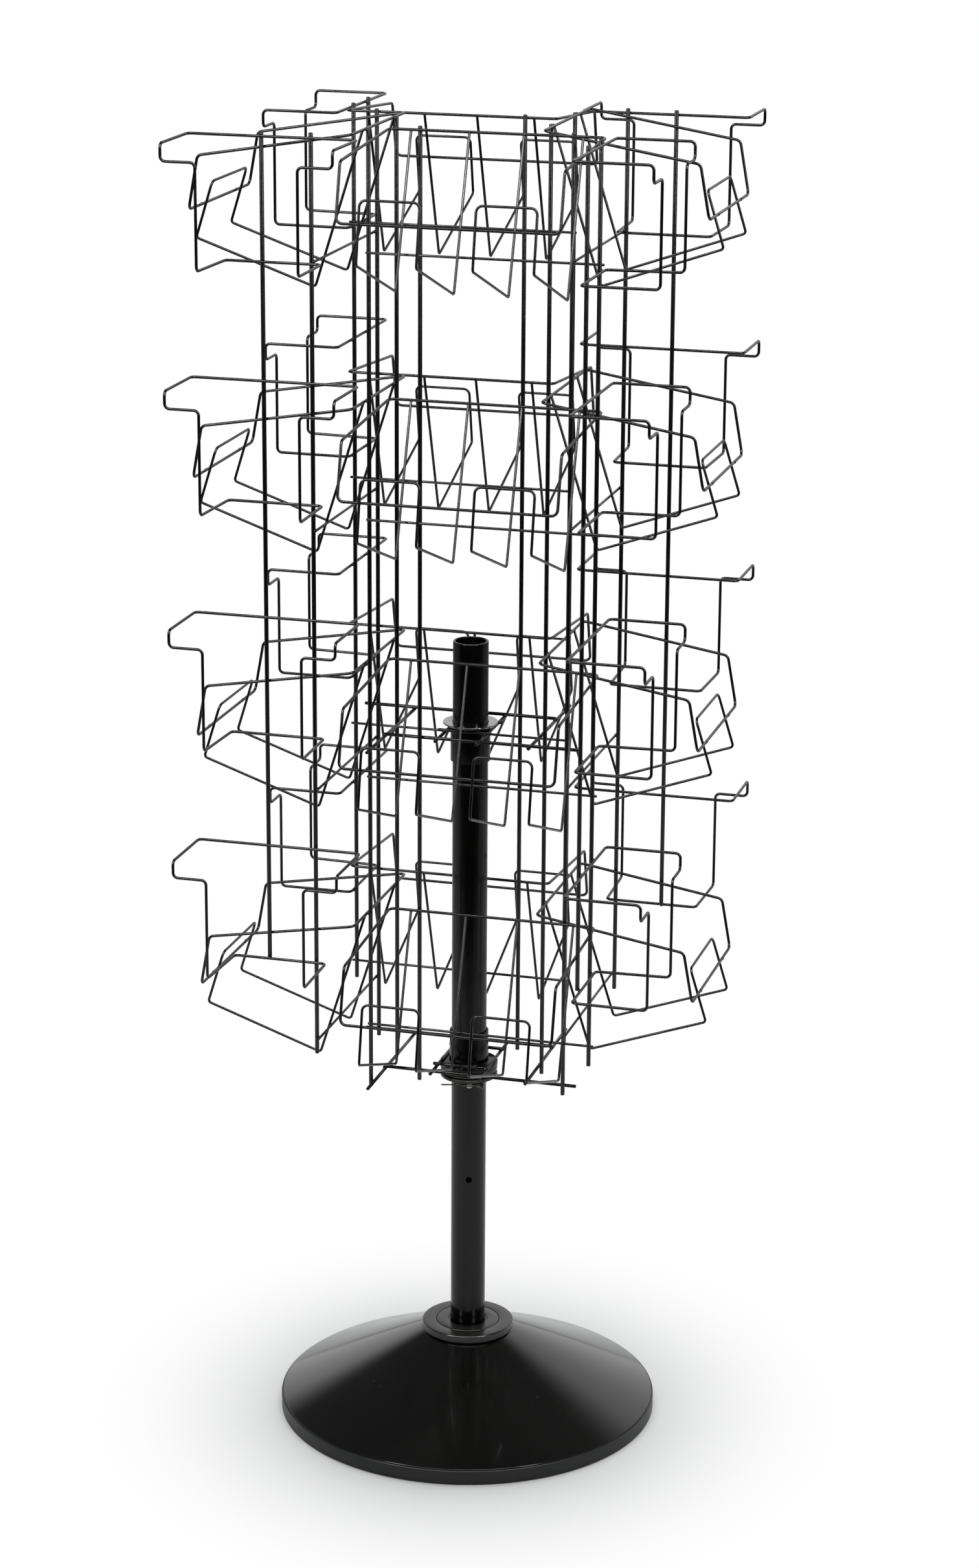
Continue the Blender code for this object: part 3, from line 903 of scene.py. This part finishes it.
def build_plate():
    """The base plate, with its band standing round the rim."""
    low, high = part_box("base_plate")
    rim = high.x
    outline = [
        (0.0062, 0.0140),
        (rim - 0.0060, 0.0140),
        (rim - 0.0060, high.z),
        (rim, high.z),
        (rim, low.z),
        (rim - 0.0120, low.z),
        (rim - 0.0120, 0.0060),
        (0.0062, 0.0060),
    ]
    radii = [0.0006, 0.0010, 0.0008, 0.0016, 0.0014, 0.0010, 0.0010, 0.0006]
    add_turned("base_plate_body", outline, radii, 5, 256, BAND, "stand", "base_plate")


def build_cone():
    """The thin spun cover over the plate."""
    low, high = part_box("base_cone")
    outline = [
        (0.0300, high.z),
        (0.0610, high.z),
        (high.x, low.z + 0.0010),
        (high.x, low.z),
        (high.x - 0.0042, low.z),
        (0.0600, high.z - 0.0020),
        (0.0300, high.z - 0.0020),
    ]
    radii = [0.0006, 0.0120, 0.0007, 0.0003, 0.0003, 0.0080, 0.0006]
    add_turned("base_cone_cover", outline, radii, 8, 320, GLOSS, "stand", "base_cone")


def build_collar():
    """The collar on the cone, in two rings with a groove between them."""
    low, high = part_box("collar_ring")
    outline = [(0.0463, high.z), (high.x, high.z), (high.x, low.z), (0.0463, low.z)]
    radii = [0.0007, 0.0021, 0.0012, 0.0006]
    add_turned("collar_ring_cap", outline, radii, 7, 192, COLLAR, "stand", "collar_ring")
    low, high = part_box("collar_hub")
    outline = [
        (0.0256, high.z - 0.0022),
        (0.0278, high.z - 0.0022),
        (0.0292, high.z),
        (0.0455, high.z),
        (0.0455, low.z),
        (0.0256, low.z),
    ]
    radii = [0.0004, 0.0004, 0.0008, 0.0007, 0.0006, 0.0006]
    add_turned("collar_hub_cap", outline, radii, 4, 192, COLLAR, "stand", "collar_hub")


# --- Studio --------------------------------------------------------------------------------------------

CAMERA_TURN = 0.270823
CAMERA_PITCH = 0.294035
CAMERA_ROLL = 0.006229
CAMERA_PLACE = (0.02716, -5.30070, 2.55771)
FOCAL_PIXELS = 6065.04
PHOTO_HEIGHT = 2421.0
ROOM_BACK = 0.86
ROOM_DARK = 0.09
BACKDROP_TOP = (0.41, 0.66)
FLOOR_HALF = 40.0
FLOOR_DROP = 0.0002
# Painted shade: beyond these distances in front, the floor's colour is painted near black so that the rack
# reflects darkness there.
FLOOR_PAINTED_SHADE = (-1.2, -2.4)
# Painted glow: from these distances out from the base, the floor glows white to the camera, so the grey
# ring round the base is partly painted shadow.
FLOOR_PAINTED_GLOW = (0.24, 0.58)
LIGHTS = (
    ("top_soft", (0.0, 0.3, 4.6), (0.0, 0.0, 0.0), 4.5, 4.5, 205.0, False),
    ("over_strip", (0.0, -2.3, 4.3), (0.0, 0.0, 1.2), 3.4, 0.35, 150.0, True),
    ("left_strip", (-2.6, -2.2, 3.6), (0.0, 0.0, 1.1), 0.5, 2.6, 130.0, True),
    ("right_strip", (2.4, -2.6, 3.3), (0.0, 0.0, 1.1), 0.5, 2.6, 100.0, True),
)


def seen_frame(point):
    """A point given to the camera's right, away from it and up, in the frame's own axes."""
    c, s = math.cos(CAMERA_TURN), math.sin(CAMERA_TURN)
    x, y, z = point
    return Vector((x * c - y * s, x * s + y * c, z))


def build_camera():
    data = bpy.data.cameras.new("camera")
    data.sensor_width = 36.0
    data.lens = data.sensor_width * FOCAL_PIXELS / PHOTO_HEIGHT
    data.clip_end = 60.0
    camera = bpy.data.objects.new("camera", data)
    bpy.context.scene.collection.objects.link(camera)
    forward = seen_frame((0.0, math.cos(CAMERA_PITCH), -math.sin(CAMERA_PITCH)))
    level = seen_frame((1.0, 0.0, 0.0))
    above = level.cross(forward)
    right = level * math.cos(CAMERA_ROLL) + above * math.sin(CAMERA_ROLL)
    up = above * math.cos(CAMERA_ROLL) - level * math.sin(CAMERA_ROLL)
    place = Matrix((right, up, -forward)).transposed().to_4x4()
    place.translation = seen_frame(CAMERA_PLACE)
    camera.matrix_world = place
    bpy.context.scene.camera = camera


def floor_material():
    """Pale round the base, where the lamps light and shade it. Farther out it glows white to camera rays,
    a painted glow, so the grey left round the base is partly real shadow and partly painted shadow. Far in
    front it is painted near black, painted shade that the rack reflects.
    """
    n = Nodes("pale_floor")
    split = n.add("ShaderNodeSeparateXYZ")
    n.link(n.place, split.inputs[0])
    # Painted shade: the floor's base colour runs from pale to near black far in front, for the rack's
    # reflections.
    painted_shade_mix = n.ramp(split.outputs["Y"], 0.0, 1.0, FLOOR_PAINTED_SHADE[1], FLOOR_PAINTED_SHADE[0])
    clouds = n.noise(1.4, 4.0, 0.6)
    pale = n.mix(n.ramp(clouds, 0.0, 1.0), (0.80, 0.808, 0.81), (0.84, 0.848, 0.85))
    n.set("Base Color", n.mix(painted_shade_mix, (0.01, 0.01, 0.01), pale))
    n.set("Roughness", n.ramp(n.noise(600.0, 2.0), 0.55, 0.70))
    n.set("Specular IOR Level", 0.0)
    # Painted light: past a set distance from the base, the floor glows white for camera rays (short is 1
    # near the base and 0 beyond). The grey left round the base is the lamps' real shadow together with
    # this painted shadow.
    reach = n.add("ShaderNodeVectorMath", operation="LENGTH")
    n.link(n.stretched((1.0, 0.9, 1.0)), reach.inputs[0])
    short = n.ramp(reach.outputs["Value"], 1.0, 0.0, FLOOR_PAINTED_GLOW[0], FLOOR_PAINTED_GLOW[1])
    painted_glow = n.combine(1.0, n.combine(short, short, "MULTIPLY"), "SUBTRACT")
    path = n.add("ShaderNodeLightPath")
    white = n.add("ShaderNodeEmission")
    mixer = n.add("ShaderNodeMixShader")
    n.link(n.combine(painted_glow, path.outputs["Is Camera Ray"], "MULTIPLY"), mixer.inputs["Fac"])
    n.link(n.shader.outputs["BSDF"], mixer.inputs[1])
    n.link(white.outputs["Emission"], mixer.inputs[2])
    n.link(mixer.outputs["Shader"], n.tree.nodes["Material Output"].inputs["Surface"])
    return n.material


def build_floor():
    h = FLOOR_HALF
    mesh = bpy.data.meshes.new("floor")
    mesh.from_pydata([(-h, -h, 0.0), (h, -h, 0.0), (h, h, 0.0), (-h, h, 0.0)], [], [(0, 1, 2, 3)])
    mesh.materials.append(floor_material())
    floor = bpy.data.objects.new("floor", mesh)
    bpy.context.scene.collection.objects.link(floor)
    turn = Matrix.Rotation(CAMERA_TURN, 4, "Z")
    floor.matrix_world = Matrix.Translation((0.0, 0.0, -FLOOR_DROP)) @ turn


def area_light(name, place, target, width, height, power, glossy):
    """A soft light. A glossy one is a strip that is only there to draw highlights."""
    data = bpy.data.lights.new(name, "AREA")
    data.shape = "RECTANGLE"
    data.size = width
    data.size_y = height
    data.energy = power
    light = bpy.data.objects.new(name, data)
    bpy.context.scene.collection.objects.link(light)
    place, target = seen_frame(place), seen_frame(target)
    light.location = place
    light.rotation_mode = "QUATERNION"
    light.rotation_quaternion = (target - place).to_track_quat("-Z", "Y")
    light.visible_camera = False
    light.visible_glossy = glossy
    light.visible_diffuse = not glossy


class Room:
    """The world's nodes: what the rack reflects, and a plain white for the camera."""

    def __init__(self):
        world = bpy.data.worlds.new("studio")
        world.use_nodes = True
        bpy.context.scene.world = world
        self.tree = world.node_tree
        self.tree.nodes.clear()
        coords = self.tree.nodes.new("ShaderNodeTexCoord")
        self.way = coords.outputs["Generated"]

    def along(self, direction):
        node = self.tree.nodes.new("ShaderNodeVectorMath")
        node.operation = "DOT_PRODUCT"
        node.inputs[1].default_value = direction
        self.tree.links.new(self.way, node.inputs[0])
        return node.outputs["Value"]

    def smooth(self, value, start, end, low, high):
        node = self.tree.nodes.new("ShaderNodeMapRange")
        node.interpolation_type = "SMOOTHSTEP"
        node.inputs["From Min"].default_value = start
        node.inputs["From Max"].default_value = end
        node.inputs["To Min"].default_value = low
        node.inputs["To Max"].default_value = high
        self.tree.links.new(value, node.inputs["Value"])
        return node.outputs["Result"]

    def combine(self, operation, first, second):
        node = self.tree.nodes.new("ShaderNodeMath")
        node.operation = operation
        self.tree.links.new(first, node.inputs[0])
        self.tree.links.new(second, node.inputs[1])
        return node.outputs[0]

    def finish(self, strength):
        lit = self.tree.nodes.new("ShaderNodeBackground")
        lit.inputs["Color"].default_value = (1.0, 1.0, 1.0, 1.0)
        self.tree.links.new(strength, lit.inputs["Strength"])
        plain = self.tree.nodes.new("ShaderNodeBackground")
        plain.inputs["Color"].default_value = (1.0, 1.0, 1.0, 1.0)
        path = self.tree.nodes.new("ShaderNodeLightPath")
        mixer = self.tree.nodes.new("ShaderNodeMixShader")
        output = self.tree.nodes.new("ShaderNodeOutputWorld")
        self.tree.links.new(path.outputs["Is Camera Ray"], mixer.inputs["Fac"])
        self.tree.links.new(lit.outputs["Background"], mixer.inputs[1])
        self.tree.links.new(plain.outputs["Background"], mixer.inputs[2])
        self.tree.links.new(mixer.outputs["Shader"], output.inputs["Surface"])


def build_world():
    """A dark room with a bright backdrop behind the rack, which stands higher on the right."""
    room = Room()
    top = room.smooth(room.along(seen_frame((1.0, 0.0, 0.0))), -0.25, 0.25, *BACKDROP_TOP)
    over = room.combine("SUBTRACT", room.along((0.0, 0.0, 1.0)), top)
    backdrop = room.smooth(over, -0.13, 0.12, ROOM_BACK, ROOM_DARK)
    front = room.smooth(room.along(seen_frame((0.0, -1.0, 0.0))), -0.30, 0.10, 1.0, ROOM_DARK)
    room.finish(room.combine("MULTIPLY", backdrop, front))


def build_studio():
    build_floor()
    for light in LIGHTS:
        area_light(*light)
    build_world()
    bpy.context.scene.view_settings.view_transform = "Standard"


build_baskets()
build_wings()
build_frame()
build_hubs()
build_pole()
build_bolt()
build_pin()
build_bearing()
build_plate()
build_cone()
build_collar()
build_camera()
build_studio()
